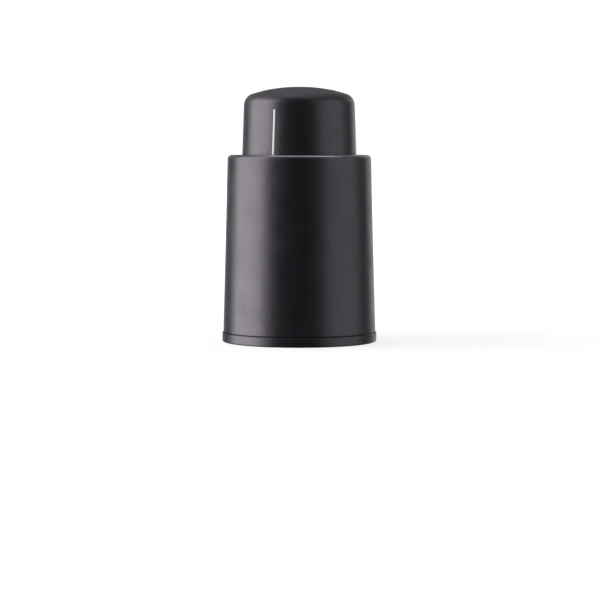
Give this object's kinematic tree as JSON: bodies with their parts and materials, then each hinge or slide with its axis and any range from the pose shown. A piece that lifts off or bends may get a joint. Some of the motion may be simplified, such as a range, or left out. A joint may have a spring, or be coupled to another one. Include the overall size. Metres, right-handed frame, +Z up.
{
  "type": "press-pump vacuum bottle stopper",
  "caption": "Black bottle stopper with a tapered sleeve, a base ring, a silicone plug inside and a spring-loaded push plunger on top that pumps air out of the bottle.",
  "frame": {"origin": "centre of the base ring's underside, the plane the stopper stands on", "axes": "+Z up along the axis of the plunger and the bottle; +Y away from the side where the index line is seen, +X to the right"},
  "size_m": [0.044, 0.044, 0.0723],
  "materials": {
    "soft_touch_black": "soft-touch matte",
    "liner_grey": "fine matte",
    "acetal_white": "natural acetal, satin",
    "pump_grey": "satin",
    "rubber_black": "matte rubber",
    "silicone_dark": "matte silicone",
    "silicone_clear": "milky silicone",
    "spring_steel": "drawn stainless wire",
    "screw_steel": "zinc plated"
  },
  "bodies": {
    "housing": {"outer_sleeve": "soft_touch_black", "base_ring": "soft_touch_black", "guide_ring": "acetal_white", "neck_liner": "liner_grey", "pump_cylinder": "pump_grey", "cylinder_cap": "pump_grey", "plug_core": "pump_grey", "plug_core_seal": "rubber_black", "bottle_plug": "silicone_dark", "lip_gasket": "silicone_clear", "return_spring": "spring_steel", "flange_screw_1": "screw_steel", "flange_screw_2": "screw_steel", "flange_screw_3": "screw_steel"},
    "plunger": {"plunger_cap": "soft_touch_black", "piston_stem": "acetal_white", "piston_head": "acetal_white", "piston_seal": "rubber_black", "stem_screw": "screw_steel"},
    "exhaust_valve": {"exhaust_valve": "silicone_clear"},
    "intake_valve": {"intake_valve": "silicone_clear"}
  },
  "joints": [
    {"name": "plunger_press", "type": "slide", "parent": "housing", "child": "plunger", "axis": [0, 0, -1], "range_m": [0, 0.0145], "stiffness_N_per_m": 450, "springref_m": -0.026, "deforming": ["return_spring"]},
    {"name": "exhaust_valve_lift", "type": "slide", "parent": "plunger", "child": "exhaust_valve", "axis": [0, 0, 1], "range_m": [0, 0.0006], "stiffness_N_per_m": 30, "springref_m": -0.0005},
    {"name": "intake_valve_lift", "type": "slide", "parent": "housing", "child": "intake_valve", "axis": [0, 0, 1], "range_m": [0, 0.0008], "stiffness_N_per_m": 30, "springref_m": -0.0005}
  ]
}
